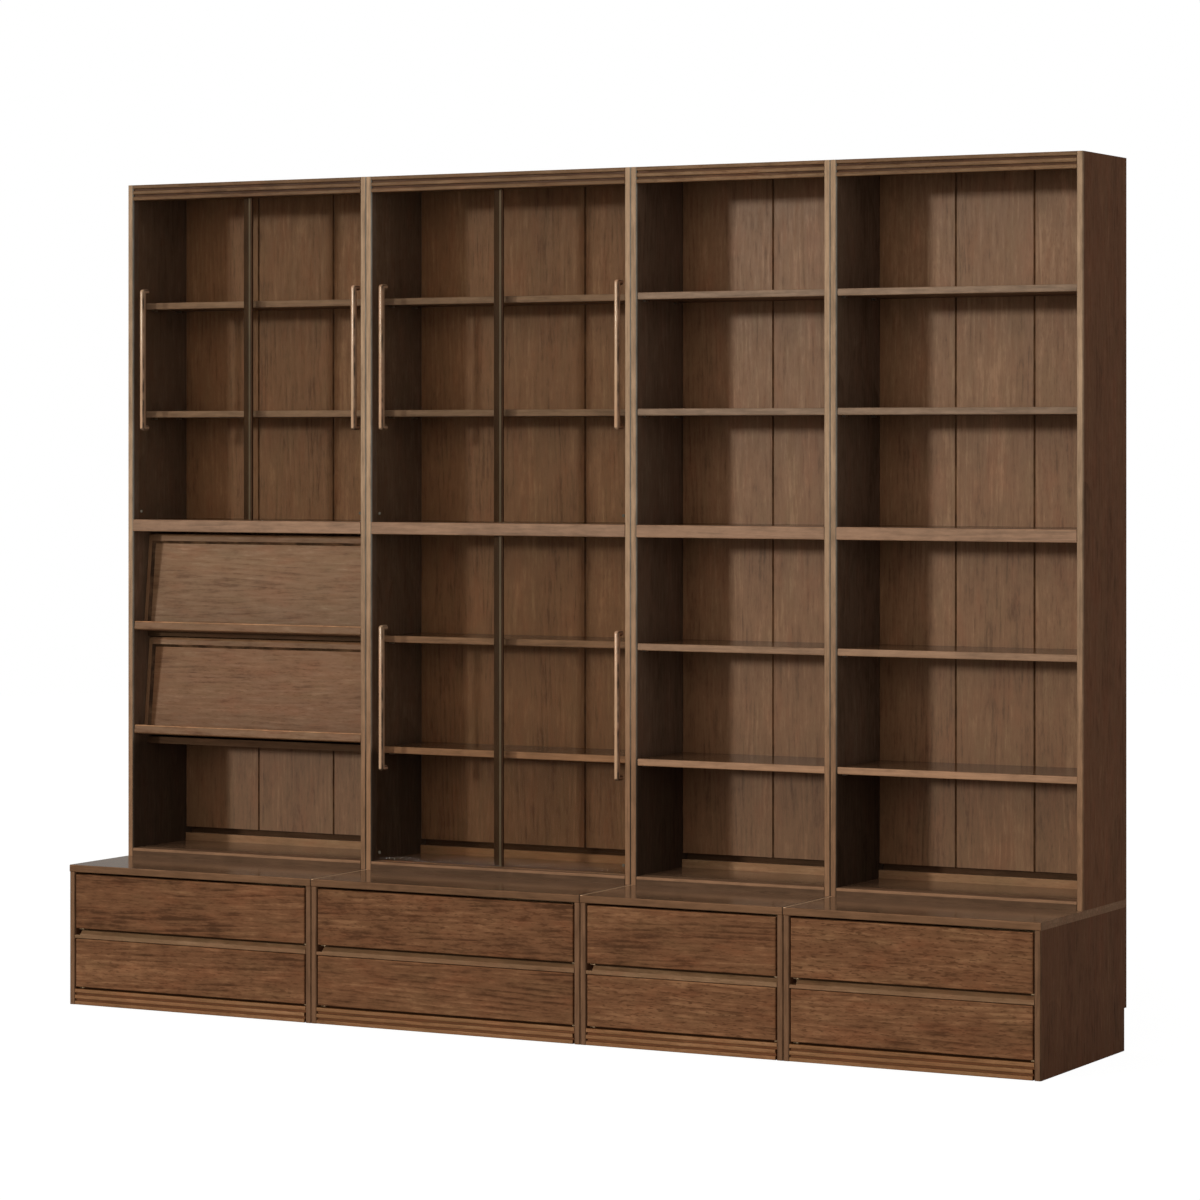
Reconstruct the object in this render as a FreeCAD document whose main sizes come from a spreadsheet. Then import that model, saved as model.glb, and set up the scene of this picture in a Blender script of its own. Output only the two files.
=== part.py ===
import FreeCAD, Part
import Sketcher
import os
import re

# Modular bookcase: four cases side by side, each a shallow upper case standing on a deep drawer base.
# Millimetres, +Z up, the front faces -Y, and the origin is the middle of the footprint on the floor.

doc = FreeCAD.newDocument("bookcase")

# Driving sizes: name, value, what it measures
SIZES = [
    ("width_one", 760, "case one, outside width"),
    ("width_two", 790, "case two, outside width"),
    ("width_three", 560, "case three, outside width"),
    ("width_four", 670, "case four, outside width"),
    ("overall_height", 2200, "floor to the top of the cornice"),
    ("base_height", 372, "floor to the top of the drawer base"),
    ("base_depth", 560, "drawer base, front to rear"),
    ("case_depth", 290, "upper case, front to rear"),
    ("panel", 17, "thickness of every side panel"),
    ("edge_round", 4, "rounding of the side panels' front edges"),
    ("board_round", 3, "rounding of shelf and top front edges"),
    ("base_top", 19, "thickness of the base's top board"),
    ("base_bottom", 18, "thickness of the base's bottom board"),
    ("base_back", 6, "thickness of the base's back panel"),
    ("skirting_depth", 15, "cut-out for a room's skirting board, depth"),
    ("skirting_height", 105, "cut-out for a room's skirting board, height"),
    ("plinth_height", 42, "reeded plinth rail, height"),
    ("plinth_slit", 4, "slit at the plinth rail's right end, width"),
    ("plinth_slit_height", 26, "slit at the plinth rail's right end, height"),
    ("cornice_height", 42, "reeded cornice rail, height"),
    ("rail_thickness", 20, "reeded rails, thickness"),
    ("reed_groove", 6, "groove between two reeds, height"),
    ("reed_depth", 6, "groove between two reeds, depth"),
    ("reed_round", 2.5, "rounding of each reed"),
    ("divider_bottom", 178, "floor to the underside of the divider rail"),
    ("divider_height", 20, "divider rail between the drawers, height"),
    ("divider_depth", 40, "divider rail between the drawers, depth"),
    ("divider_bevel", 9, "finger bevel on the divider rail's upper front edge"),
    ("finger_notch", 18, "open notch at the divider rail's left end, width"),
    ("finger_notch_height", 12, "open notch at the divider rail's left end, height"),
    ("runner_width", 34, "drawer runner batten, width"),
    ("front_thickness", 20, "drawer front, thickness"),
    ("front_gap", 5.5, "gap below each drawer front and above the upper one"),
    ("front_lap_gap", 2, "gap between the divider rail and the lower drawer front"),
    ("front_side_gap", 3, "gap at each side of a drawer front"),
    ("front_round", 3.5, "rounding of a drawer front's edges"),
    ("drawer_side", 14, "drawer sides and back, thickness"),
    ("drawer_bottom", 8, "drawer bottom, thickness"),
    ("drawer_bottom_raise", 8, "drawer bottom above the lower edge of its sides"),
    ("drawer_headroom", 20, "space above a drawer box"),
    ("drawer_play", 1, "drawer side to side panel"),
    ("drawer_seat", 0.3, "drawer side above its runner"),
    ("stop_width", 24, "drawer stop block, width"),
    ("stop_length", 49, "drawer stop block, front to rear"),
    ("stop_height", 40, "drawer stop block, height"),
    ("stop_gap", 0.3, "stop to the piece that it stops"),
    ("case_bottom", 22, "upper case's bottom board, thickness"),
    ("case_top", 22, "upper case's top board, thickness"),
    ("fixed_shelf", 32, "fixed middle shelf, thickness"),
    ("fixed_shelf_under", 1257, "floor to the underside of the fixed shelf"),
    ("shelf", 18, "loose shelves, thickness"),
    ("lower_shelf_raise", 6, "shelves below the fixed one, above even spacing"),
    ("open_setback", 5, "open shelves behind the case's front"),
    ("glazed_setback", 62, "shelves behind glass, behind the case's front"),
    ("shelf_play", 1, "shelf to the side panels and back boards"),
    ("support_length", 14, "shelf support, front to rear"),
    ("support_reach", 9, "shelf support, out from the side panel"),
    ("support_height", 5, "shelf support, height"),
    ("support_inset", 30, "shelf support from the shelf's front or rear edge"),
    ("back_board", 12, "back boards, thickness"),
    ("back_inset", 23, "back boards' rear face in front of the rear edges"),
    ("back_groove", 3, "chamfer of the back boards' long edges"),
    ("cable_rail", 21, "rail at the foot of the back, height"),
    ("cable_slot", 17, "open slot between that rail and the back boards"),
    ("cable_cover", 6, "strip behind the cable slot, thickness"),
    ("cable_cover_height", 60, "strip behind the cable slot, height"),
    ("glass", 6, "glass doors, thickness"),
    ("glass_polish", 1, "chamfer of the glass doors' upright edges"),
    ("track_margin", 6, "cornice's rear face to the middle of the front track"),
    ("door_pitch", 13, "front track to rear track"),
    ("door_overlap", 8, "overlap of two closed glass doors"),
    ("door_end_gap", 2, "closed glass door to the side panel"),
    ("track_play", 0.4, "glass to each wall of its groove"),
    ("track_seat", 0.3, "glass above the bottom of its lower groove"),
    ("lower_groove", 6, "lower groove, depth"),
    ("upper_groove", 12, "upper groove, depth"),
    ("glass_in_top", 6, "glass held in its upper groove"),
    ("head_rail", 34, "grooved head rail, front to rear"),
    ("handle_bar", 15, "handle bar, across"),
    ("handle_length", 384, "handle bar, length"),
    ("handle_round", 6, "rounding of the handle bar's long edges"),
    ("handle_stand", 12, "handle bar's rear face to the glass"),
    ("handle_inset", 30, "middle of the handle bar to the side panel"),
    ("post_radius", 5.5, "handle post, radius"),
    ("post_inset", 8, "middle of a handle post from the end of the bar"),
    ("flap_lap", 4, "closed flap's lower edge below the shelf's top"),
    ("flap_thickness", 18, "display flap's frame, thickness"),
    ("flap_stile", 18, "display flap's stiles and lower rail, width with the bevel"),
    ("flap_rail", 27, "display flap's upper rail, width with the bevel"),
    ("flap_bevel", 7, "bevel round the inside of the flap's frame"),
    ("flap_top_flat", 1, "flat left on the flap's rounded top edge"),
    ("flap_panel", 7, "display flap's panel, thickness"),
    ("flap_lean", 6, "lean of the closed flap, degrees"),
    ("flap_setback", 84, "case's front to the flap's hinge axis"),
    ("flap_drop", 17, "underside above a flap to the first hinge axis"),
    ("flap_drop_low", 12, "underside above a flap to the second hinge axis"),
    ("flap_play", 2, "flap to each side panel"),
    ("flap_shelf_gap", 5, "closed flap to the shelf behind it"),
    ("flap_stop", 14, "flap stop block, across"),
    ("flap_stop_length", 40, "flap stop block, length"),
    ("flap_stop_rise", 20, "flap's lower edge to the foot of its stop block"),
    ("ledge_depth", 45, "display ledge, out from the flap"),
    ("ledge_board", 14, "display ledge, thickness of its board"),
    ("ledge_lip", 24, "display ledge, height of its lip"),
    ("lip_thickness", 11, "display ledge, thickness of its lip"),
    ("lip_round", 4, "rounding of the lip"),
    ("hinge_pin", 3, "flap hinge pin, radius"),
    ("hinge_play", 0.05, "hinge pin to its bore, radial"),
    ("hinge_depth", 12, "hinge pin's reach into the flap"),
    ("hinge_end_gap", 1, "hinge pin's end to the bottom of its bore"),
]

sheet = doc.addObject("Spreadsheet::Sheet", "sizes")
for row, (alias, value, meaning) in enumerate(SIZES, 1):
    sheet.set(f"A{row}", meaning)
    sheet.set(f"B{row}", str(value))
    sheet.setAlias(f"B{row}", alias)
doc.recompute()
ALIASES = {alias for alias, value, meaning in SIZES}


def bind(piece, prop, text):
    """Ties a property to a formula of driving sizes."""
    full = re.sub(r"[a-z]\w*", lambda word: f"sizes.{word[0]}" if word[0] in ALIASES else word[0], text)
    piece.setExpression(prop, full)


def place(piece, x, y, z):
    bind(piece, "Placement.Base.x", x)
    bind(piece, "Placement.Base.y", y)
    bind(piece, "Placement.Base.z", z)


def board(name, x, y, z, length, depth, height):
    """A squared board from its left, front, lower corner."""
    piece = doc.addObject("Part::Box", name)
    bind(piece, "Length", length)
    bind(piece, "Width", depth)
    bind(piece, "Height", height)
    place(piece, x, y, z)
    return piece


def rod(name, x, y, z, radius, length, turn):
    """A round rod from the middle of one end, turned from +Z."""
    piece = doc.addObject("Part::Cylinder", name)
    bind(piece, "Radius", radius)
    bind(piece, "Height", length)
    piece.Placement = FreeCAD.Placement(FreeCAD.Vector(), turn)
    place(piece, x, y, z)
    return piece


ALONG_X = FreeCAD.Rotation(FreeCAD.Vector(0, 1, 0), 90)
ALONG_FRONT = FreeCAD.Rotation(FreeCAD.Vector(1, 0, 0), 90)


def edges_on(piece, *sides, along=None):
    """Numbers of the edges that lie on all the named sides of a piece."""
    doc.recompute()
    box = piece.Shape.BoundBox
    limits = {
        "left": ("x", box.XMin),
        "right": ("x", box.XMax),
        "front": ("y", box.YMin),
        "rear": ("y", box.YMax),
        "bottom": ("z", box.ZMin),
        "top": ("z", box.ZMax),
    }
    found = []
    for number, edge in enumerate(piece.Shape.Edges, 1):
        ends = [vertex.Point for vertex in edge.Vertexes]
        planes = [limits[side] for side in sides]
        on_all = all(abs(getattr(end, axis) - at) < 0.001 for axis, at in planes for end in ends)
        runs = along is None or abs(getattr(ends[0] - ends[-1], along)) > 0.9 * edge.Length
        if on_all and runs:
            found.append(number)
    return found


def eased(piece, size, numbers, kind="Part::Fillet"):
    """The piece with some edges rounded, or chamfered, by a driving size."""
    amount = sheet.get(size)
    finished = doc.addObject(kind, piece.Name + "_eased")
    finished.Base = piece
    finished.Edges = [(number, amount, amount) for number in numbers]
    return finished


def cut(piece, tools):
    """The piece less one or more cutters."""
    finished = doc.addObject("Part::Cut", piece.Name + "_cut")
    finished.Base = piece
    finished.Tool = group(piece.Name + "_cutters", tools)
    return finished


def group(name, pieces):
    if len(pieces) == 1:
        return pieces[0]
    together = doc.addObject("Part::Compound", name)
    together.Links = pieces
    return together


nodes = []


def node(label, pieces):
    """One sub-part: a piece, or a set of like pieces, under the name of its file."""
    finished = group(label, pieces)
    finished.Label = label
    nodes.append(finished)
    return finished


# Shared places, as formulas of the driving sizes
CASES = ("one", "two", "three", "four")
whole_width = "(width_one + width_two + width_three + width_four)"
base_front = "(-base_depth / 2)"
rear = "(base_depth / 2)"
case_front = "(base_depth / 2 - case_depth)"
base_under_top = "(base_height - base_top)"
base_back_face = f"({rear} - skirting_depth - base_back)"
back_face = f"({rear} - back_inset - back_board)"
floor_of_case = "(base_height + case_bottom)"
cornice_under = "(overall_height - cornice_height)"
divider_top = "(divider_bottom + divider_height)"
fixed_shelf_top = "(fixed_shelf_under + fixed_shelf)"
upper_pitch = f"(({cornice_under} - {fixed_shelf_top} + shelf) / 3)"
lower_pitch = f"((fixed_shelf_under - {floor_of_case} + shelf) / 3)"
shelf_top = {
    "a": f"({fixed_shelf_top} + 2 * {upper_pitch})",
    "b": f"({fixed_shelf_top} + {upper_pitch})",
    "c": f"({floor_of_case} + 2 * {lower_pitch} + lower_shelf_raise)",
    "d": f"({floor_of_case} + {lower_pitch} + lower_shelf_raise)",
}

left = {}
inner_left = {}
inner_right = {}
inner_width = {}
reached = f"-{whole_width} / 2"
for case in CASES:
    left[case] = f"({reached})"
    inner_left[case] = f"({reached} + panel)"
    inner_right[case] = f"({reached} + width_{case} - panel)"
    inner_width[case] = f"(width_{case} - 2 * panel)"
    reached += f" + width_{case}"

# Drawer base: two side panels to the floor with a skirting cut-out, top laid over them
side_panels = []
for case in CASES:
    for hand, x in (("left", left[case]), ("right", inner_right[case])):
        side = board(f"base_side_{case}_{hand}", x, base_front, "0", "panel", "base_depth", base_under_top)
        skirting = board(
            f"skirting_{case}_{hand}", x, f"{rear} - skirting_depth", "0", "panel", "skirting_depth", "skirting_height"
        )
        notched = cut(side, [skirting])
        fronts = edges_on(notched, "front", "left") + edges_on(notched, "front", "right")
        side_panels.append(eased(notched, "edge_round", fronts))
node("base_side_panels", side_panels)

tops = []
for case in CASES:
    top = board(f"base_top_{case}", left[case], base_front, base_under_top, f"width_{case}", "base_depth", "base_top")
    tops.append(eased(top, "board_round", edges_on(top, "front", along="x")))
node("base_tops", tops)

bottoms = []
backs = []
for case in CASES:
    behind_plinth = f"({base_front} + rail_thickness)"
    bottoms.append(
        board(
            f"base_bottom_{case}", inner_left[case], behind_plinth, "plinth_height - base_bottom",
            inner_width[case], f"{base_back_face} - {behind_plinth}", "base_bottom",
        )
    )
    backs.append(
        board(
            f"base_back_{case}", inner_left[case], base_back_face, "plinth_height - base_bottom",
            inner_width[case], "base_back", f"{base_under_top} - plinth_height + base_bottom",
        )
    )
node("base_bottoms", bottoms)
node("base_backs", backs)


def plane(body, role):
    return [(feature, "") for feature in body.Origin.OriginFeatures if feature.Role == role]


def outline(body, name, role, corners):
    """A closed sketch of straight lines. Each corner is bound to two formulas, from the sketch's origin."""
    sketch = body.newObject("Sketcher::SketchObject", name)
    sketch.AttachmentSupport = plane(body, role)
    sketch.MapMode = "FlatFace"
    count = len(corners)
    for number in range(count):
        here = FreeCAD.Vector(number, number * number + 1, 0)
        there = FreeCAD.Vector((number + 1) % count, ((number + 1) % count) ** 2 + 1, 0)
        sketch.addGeometry(Part.LineSegment(here, there), False)
    for number in range(count):
        sketch.addConstraint(Sketcher.Constraint("Coincident", number, 2, (number + 1) % count, 1))
    for number, (across, up) in enumerate(corners):
        for kind, text in (("DistanceX", across), ("DistanceY", up)):
            spot = sketch.addConstraint(Sketcher.Constraint(kind, -1, 1, number, 1, 1.0))
            bind(sketch, f"Constraints[{spot}]", text)
    return sketch


def pad(body, sketch, length, backwards=False):
    feature = body.newObject("PartDesign::Pad", sketch.Name + "_pad")
    feature.Profile = sketch
    feature.Reversed = backwards
    bind(feature, "Length", length)
    sketch.Visibility = False
    return feature


def pocket(body, sketch, depth=None, backwards=False):
    """A cut along the sketch's axis, right through where no depth is given. It has to take material away."""
    before = body.Tip
    feature = body.newObject("PartDesign::Pocket", sketch.Name + "_pocket")
    feature.Profile = sketch
    feature.Reversed = backwards
    if depth is None:
        feature.Type = "ThroughAll"
    else:
        bind(feature, "Length", depth)
    doc.recompute()
    if feature.Shape.Volume > before.Shape.Volume - 1:
        raise RuntimeError(f"{feature.Name} cuts nothing")
    return feature


def ease_body(body, kind, prop, size, numbers):
    """A fillet or chamfer on some edges of the body's last feature."""
    last = body.Tip
    feature = body.newObject(kind, f"{body.Name}_{prop.lower()}")
    feature.Base = (last, [f"Edge{number}" for number in numbers])
    bind(feature, prop, size)
    doc.recompute()
    return feature


# Reeded rails: three rounded reeds with two grooves between, the plinth below and the cornice above
def reeded_rail(name, x, y, z, length, height):
    body = doc.addObject("PartDesign::Body", name)
    section = [("0", "0"), ("rail_thickness", "0"), ("rail_thickness", height), ("0", height)]
    pad(body, outline(body, name + "_section", "YZ_Plane", section), length)
    reed = f"(({height} - 2 * reed_groove) / 3)"
    groove = [
        ("0", reed),
        ("reed_depth", reed),
        ("reed_depth", f"{reed} + reed_groove"),
        ("0", f"{reed} + reed_groove"),
    ]
    doc.recompute()
    first = pocket(body, outline(body, name + "_groove", "YZ_Plane", groove), backwards=True)
    both = body.newObject("PartDesign::LinearPattern", name + "_grooves")
    both.Originals = [first]
    both.Direction = plane(body, "Z_Axis")[0]
    both.Occurrences = 2
    bind(both, "Length", f"{reed} + reed_groove")
    body.Tip = both
    doc.recompute()
    ease_body(body, "PartDesign::Fillet", "Radius", "reed_round", edges_on(both, "front", along="x"))
    place(body, x, y, z)
    return body


plinths = []
cornices = []
for case in CASES:
    rail = reeded_rail(f"plinth_{case}", inner_left[case], base_front, "0", inner_width[case], "plinth_height")
    slit = board(
        f"plinth_slit_{case}", f"{inner_right[case]} - plinth_slit", base_front, "0",
        "plinth_slit", "rail_thickness", "plinth_slit_height",
    )
    plinths.append(cut(rail, [slit]))
    cornices.append(
        reeded_rail(
            f"cornice_{case}", inner_left[case], case_front, cornice_under, inner_width[case], "cornice_height"
        )
    )
node("plinths", plinths)
node("cornices", cornices)

# Web frame between the drawers: a bevelled divider rail, notched at its left end, and two runners behind it
dividers = []
runners = []
for case in CASES:
    rail = board(
        f"divider_{case}", inner_left[case], base_front, "divider_bottom",
        inner_width[case], "divider_depth", "divider_height",
    )
    bevelled = eased(rail, "divider_bevel", edges_on(rail, "front", "top"), "Part::Chamfer")
    notch = board(
        f"finger_notch_{case}", inner_left[case], base_front, f"{divider_top} - finger_notch_height",
        "finger_notch", "divider_depth", "finger_notch_height",
    )
    dividers.append(cut(bevelled, [notch]))
    for hand, x in (("left", inner_left[case]), ("right", f"({inner_right[case]} - runner_width)")):
        runners.append(
            board(
                f"runner_{case}_{hand}", x, f"{base_front} + divider_depth", "divider_bottom",
                "runner_width", f"{base_back_face} - {base_front} - divider_depth", "divider_height",
            )
        )
node("divider_rails", dividers)
node("drawer_runners", runners)

# Drawers: a flush front on a box of sides, back and bottom, which slides on the runners or the base's bottom
box_front = f"({base_front} + front_thickness)"
drawer_depth = f"({base_back_face} - stop_length - stop_gap - {box_front})"
stops = []
for case in CASES:
    levels = (
        ("upper", divider_top, f"({base_under_top} - {divider_top})", "front_gap"),
        ("lower", "plinth_height", "(divider_bottom - plinth_height)", "front_lap_gap"),
    )
    for level, seat, opening, gap_above in levels:
        name = f"drawer_{case}_{level}"
        front = board(
            f"{name}_face", f"{inner_left[case]} + front_side_gap", base_front, f"{seat} + front_gap",
            f"{inner_width[case]} - 2 * front_side_gap", "front_thickness", f"{opening} - front_gap - {gap_above}",
        )
        node(f"{name}_front", [eased(front, "front_round", edges_on(front, "front"))])

        box_left = f"({inner_left[case]} + drawer_play)"
        box_width = f"({inner_width[case]} - 2 * drawer_play)"
        box_low = f"({seat} + drawer_seat)"
        box_height = f"({opening} - drawer_headroom)"
        between = f"({box_width} - 2 * drawer_side)"
        box = []
        for hand, x in (("left", box_left), ("right", f"({box_left} + {box_width} - drawer_side)")):
            box.append(
                board(f"{name}_side_{hand}", x, box_front, box_low, "drawer_side", drawer_depth, box_height)
            )
        box.append(
            board(
                f"{name}_back", f"{box_left} + drawer_side", f"{box_front} + {drawer_depth} - drawer_side", box_low,
                between, "drawer_side", box_height,
            )
        )
        box.append(
            board(
                f"{name}_floor", f"{box_left} + drawer_side", box_front, f"{box_low} + drawer_bottom_raise",
                between, f"{drawer_depth} - drawer_side", "drawer_bottom",
            )
        )
        node(f"{name}_box", box)

        for hand, x in (("left", inner_left[case]), ("right", f"({inner_right[case]} - stop_width)")):
            stops.append(
                board(
                    f"{name}_stop_{hand}", x, f"{base_back_face} - stop_length", seat,
                    "stop_width", "stop_length", "stop_height",
                )
            )
node("drawer_stops", stops)

# Upper case: side panels, bottom, fixed middle shelf and top
side_panels = []
for case in CASES:
    for hand, x in (("left", left[case]), ("right", inner_right[case])):
        side = board(
            f"case_side_{case}_{hand}", x, case_front, "base_height",
            "panel", "case_depth", "overall_height - base_height",
        )
        fronts = edges_on(side, "front", "left") + edges_on(side, "front", "right")
        side_panels.append(eased(side, "edge_round", fronts))
node("upper_side_panels", side_panels)

# Pairs of sliding glass doors: the case, the level, and the clear height that they close
DOORS = (
    ("one", "upper", fixed_shelf_top, cornice_under),
    ("two", "upper", fixed_shelf_top, cornice_under),
    ("two", "lower", floor_of_case, "fixed_shelf_under"),
)
front_track = f"({case_front} + rail_thickness + track_margin)"
rear_track = f"({front_track} + door_pitch)"
groove_width = "(glass + 2 * track_play)"


def grooves(name, case, low, depth):
    """Cutters for a pair of glass grooves across the inside of a case."""
    return [
        board(
            f"{name}_{which}", inner_left[case], f"{track} - {groove_width} / 2", low,
            inner_width[case], groove_width, depth,
        )
        for which, track in (("front", front_track), ("rear", rear_track))
    ]


grooved_on_top = {(case, low) for case, level, low, high in DOORS}
grooved_below = {(case, high) for case, level, low, high in DOORS}

bottoms = []
middles = []
tops = []
heads = []
for case in CASES:
    bottom = board(
        f"case_bottom_{case}", inner_left[case], case_front, "base_height",
        inner_width[case], "case_depth", "case_bottom",
    )
    bottom = eased(bottom, "board_round", edges_on(bottom, "front", "top"))
    if (case, floor_of_case) in grooved_on_top:
        bottom = cut(bottom, grooves(f"bottom_groove_{case}", case, f"{floor_of_case} - lower_groove", "lower_groove"))
    bottoms.append(bottom)

    middle = board(
        f"fixed_shelf_{case}", inner_left[case], case_front, "fixed_shelf_under",
        inner_width[case], f"{back_face} - {case_front}", "fixed_shelf",
    )
    middle = eased(middle, "board_round", edges_on(middle, "front", along="x"))
    cutters = []
    if (case, fixed_shelf_top) in grooved_on_top:
        cutters += grooves(f"shelf_groove_{case}", case, f"{fixed_shelf_top} - lower_groove", "lower_groove")
    if (case, "fixed_shelf_under") in grooved_below:
        cutters += grooves(f"under_groove_{case}", case, "fixed_shelf_under", "upper_groove")
    middles.append(cut(middle, cutters) if cutters else middle)

    behind_cornice = f"({case_front} + rail_thickness)"
    tops.append(
        board(
            f"case_top_{case}", inner_left[case], behind_cornice, "overall_height - case_top",
            inner_width[case], f"{rear} - {behind_cornice}", "case_top",
        )
    )
    if (case, cornice_under) in grooved_below:
        head = board(
            f"head_rail_{case}", inner_left[case], behind_cornice, cornice_under,
            inner_width[case], "head_rail", "cornice_height - case_top",
        )
        heads.append(cut(head, grooves(f"head_groove_{case}", case, cornice_under, "upper_groove")))
node("case_bottoms", bottoms)
node("fixed_shelves", middles)
node("case_tops", tops)
node("door_head_rails", heads)

# Backs: upright boards with a V-groove at each joint, above a cable slot, a low rail and a rear strip
BACK_BOARD_COUNT = {"one": 3, "two": 3, "three": 2, "four": 3}
cable_rails = []
cable_covers = []
for case in CASES:
    low = f"({floor_of_case} + cable_rail + cable_slot)"
    width = f"({inner_width[case]} / {BACK_BOARD_COUNT[case]})"
    boards = []
    for number in range(BACK_BOARD_COUNT[case]):
        plank = board(
            f"back_{case}_{number + 1}", f"{inner_left[case]} + {number} * {width}", back_face, low,
            width, "back_board", f"overall_height - case_top - {low}",
        )
        uprights = edges_on(plank, "front", along="z")
        boards.append(eased(plank, "back_groove", uprights, "Part::Chamfer"))
    node(f"back_boards_{case}", boards)
    cable_rails.append(
        board(
            f"cable_rail_{case}", inner_left[case], back_face, floor_of_case,
            inner_width[case], "back_board", "cable_rail",
        )
    )
    cable_covers.append(
        board(
            f"cable_cover_{case}", inner_left[case], f"{rear} - cable_cover", floor_of_case,
            inner_width[case], "cable_cover", "cable_cover_height",
        )
    )
node("cable_rails", cable_rails)
node("cable_covers", cable_covers)

# Loose shelves on four small supports each: near the front in the open cases, set back behind glass
supports = []


def loose_shelf(name, case, setback, top):
    front = f"({case_front} + {setback})"
    depth = f"({back_face} - shelf_play - {front})"
    shelf = board(
        name, f"{inner_left[case]} + shelf_play", front, f"{top} - shelf",
        f"{inner_width[case]} - 2 * shelf_play", depth, "shelf",
    )
    under = f"{top} - shelf - support_height"
    for hand, x in (("left", inner_left[case]), ("right", f"({inner_right[case]} - support_reach)")):
        for end, y in (
            ("front", f"{front} + support_inset"),
            ("rear", f"{front} + {depth} - support_inset - support_length"),
        ):
            supports.append(
                board(f"{name}_support_{hand}_{end}", x, y, under, "support_reach", "support_length", "support_height")
            )
    return eased(shelf, "board_round", edges_on(shelf, "front", along="x"))


open_shelves = []
for case in ("three", "four"):
    for tier, top in shelf_top.items():
        open_shelves.append(loose_shelf(f"open_{case}_{tier}", case, "open_setback", top))
node("open_shelves", open_shelves)

glazed_shelves = []
for case, tiers in (("one", "ab"), ("two", "abcd")):
    for tier in tiers:
        glazed_shelves.append(loose_shelf(f"glazed_{case}_{tier}", case, "glazed_setback", shelf_top[tier]))
node("glazed_shelves", glazed_shelves)
node("shelf_supports", supports)

# Sliding glass doors: the left pane runs in the front groove and the right pane in the rear groove
for case, level, low, high in DOORS:
    pane_width = f"(({inner_width[case]} - 2 * door_end_gap + door_overlap) / 2)"
    pane_low = f"({low} - lower_groove + track_seat)"
    pane_height = f"({high} + glass_in_top - {pane_low})"
    middle = f"(({low} + {high}) / 2)"
    hands = (
        ("left", f"({inner_left[case]} + door_end_gap)", front_track, f"({inner_left[case]} + handle_inset)"),
        (
            "right",
            f"({inner_right[case]} - door_end_gap - {pane_width})",
            rear_track,
            f"({inner_right[case]} - handle_inset)",
        ),
    )
    for hand, x, track, grip in hands:
        name = f"{case}_{level}_{hand}"
        face = f"({track} - glass / 2)"
        pane = board(f"glass_{name}", x, face, pane_low, pane_width, "glass", pane_height)
        uprights = edges_on(pane, "left", along="z") + edges_on(pane, "right", along="z")
        node(f"glass_door_{name}", [eased(pane, "glass_polish", uprights, "Part::Chamfer")])

        bar = board(
            f"bar_{name}", f"{grip} - handle_bar / 2", f"{face} - handle_stand - handle_bar",
            f"{middle} - handle_length / 2", "handle_bar", "handle_bar", "handle_length",
        )
        pieces = [eased(bar, "handle_round", edges_on(bar, along="z"))]
        reach = "(handle_length / 2 - post_inset)"
        for end, z in (("upper", f"{middle} + {reach}"), ("lower", f"{middle} - {reach}")):
            pieces.append(rod(f"post_{name}_{end}", grip, face, z, "post_radius", "handle_stand", ALONG_FRONT))
        node(f"handle_{name}", pieces)

# Display flaps of case one: a bevelled frame and panel, hung at the top on pins, with a lipped ledge below
lean = "(flap_lean * 1deg)"
half = "(flap_thickness / 2)"
axis_depth = f"({case_front} + flap_setback)"
flap_left = f"({inner_left['one']} + flap_play)"
flap_width = f"({inner_width['one']} - 2 * flap_play)"
FLAPS = (
    ("upper", "(fixed_shelf_under - flap_drop)", shelf_top["c"]),
    ("lower", f"({shelf_top['c']} - shelf - flap_drop_low)", shelf_top["d"]),
)
hanging = f"(fixed_shelf_under - flap_drop - {shelf_top['c']} + flap_lap)"
flap_height = f"({hanging} / cos({lean}) + {half})"


def hang(piece, x, y, z, axis_height):
    """Leans a piece with its flap. Its place is given upright, from the hinge axis."""
    piece.Placement = FreeCAD.Placement(FreeCAD.Vector(), FreeCAD.Rotation(FreeCAD.Vector(-1, 0, 0), 1))
    bind(piece, "Placement.Rotation.Angle", lean)
    place(
        piece,
        x,
        f"{axis_depth} + ({y}) * cos({lean}) + ({z}) * sin({lean})",
        f"{axis_height} - ({y}) * sin({lean}) + ({z}) * cos({lean})",
    )


def rear_of_flap(axis_height, height):
    """Where the closed flap's rear face is at a height above the floor."""
    return f"({axis_depth} + {half} / cos({lean}) - ({axis_height} - {height}) * tan({lean}))"


def bore(body, name, offset, backwards):
    """A blind bore for a hinge pin in one end of a flap's frame."""
    sketch = body.newObject("Sketcher::SketchObject", name)
    sketch.AttachmentSupport = plane(body, "YZ_Plane")
    sketch.MapMode = "FlatFace"
    bind(sketch, "AttachmentOffset.Base.z", offset)
    sketch.addGeometry(Part.Circle(FreeCAD.Vector(1, 1, 0), FreeCAD.Vector(0, 0, 1), 1), False)
    for kind, text in (("DistanceX", half), ("DistanceY", f"{flap_height} - {half}")):
        spot = sketch.addConstraint(Sketcher.Constraint(kind, -1, 1, 0, 3, 1.0))
        bind(sketch, f"Constraints[{spot}]", text)
    spot = sketch.addConstraint(Sketcher.Constraint("Radius", 0, 1.0))
    bind(sketch, f"Constraints[{spot}]", "hinge_pin + hinge_play")
    pocket(body, sketch, "hinge_depth + hinge_end_gap", backwards)


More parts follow.
